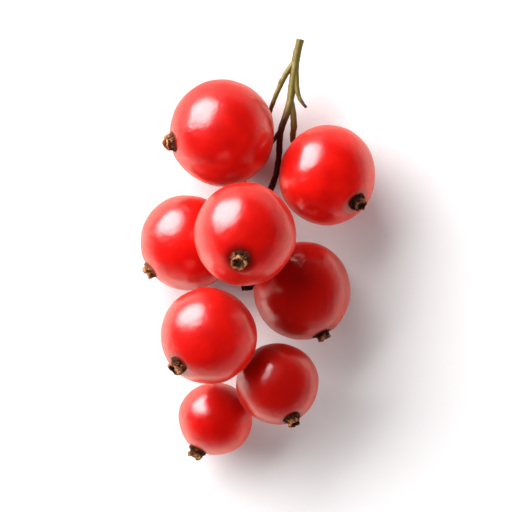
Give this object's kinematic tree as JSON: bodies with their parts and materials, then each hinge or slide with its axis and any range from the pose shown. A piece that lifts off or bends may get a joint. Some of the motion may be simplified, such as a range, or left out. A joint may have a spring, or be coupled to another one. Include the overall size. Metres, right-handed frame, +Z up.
{
  "type": "redcurrant sprig",
  "caption": "Picked sprig of ripe redcurrants lying on its side: round glossy berries with dried calyxes, heaped along one thin branching green stalk.",
  "frame": {"origin": "middle of the sprig's footprint on the surface it lies on", "axes": "+Z up from that surface, +Y along the sprig from its tip berry to the picked end of the stalk, +X to the right seen from above"},
  "size_m": [0.0243, 0.0436, 0.0187],
  "materials": {
    "berry_skin": "smooth satin-gloss ripe berry skin",
    "dried_calyx": "dry, crumpled and matt",
    "stalk_green": "smooth satin, fresh green stem browning towards the tip"
  },
  "bodies": {
    "root": {"berry_top_left": "berry_skin", "berry_top_right": "berry_skin", "berry_left": "berry_skin", "berry_centre": "berry_skin", "berry_right": "berry_skin", "berry_lower_left": "berry_skin", "berry_lower_right": "berry_skin", "berry_tip": "berry_skin", "berry_small_underneath": "berry_skin", "calyx_top_left": "dried_calyx", "calyx_top_right": "dried_calyx", "calyx_left": "dried_calyx", "calyx_centre": "dried_calyx", "calyx_right": "dried_calyx", "calyx_lower_left": "dried_calyx", "calyx_lower_right": "dried_calyx", "calyx_tip": "dried_calyx", "calyx_small_underneath": "dried_calyx", "stalk": "stalk_green"}
  },
  "joints": []
}
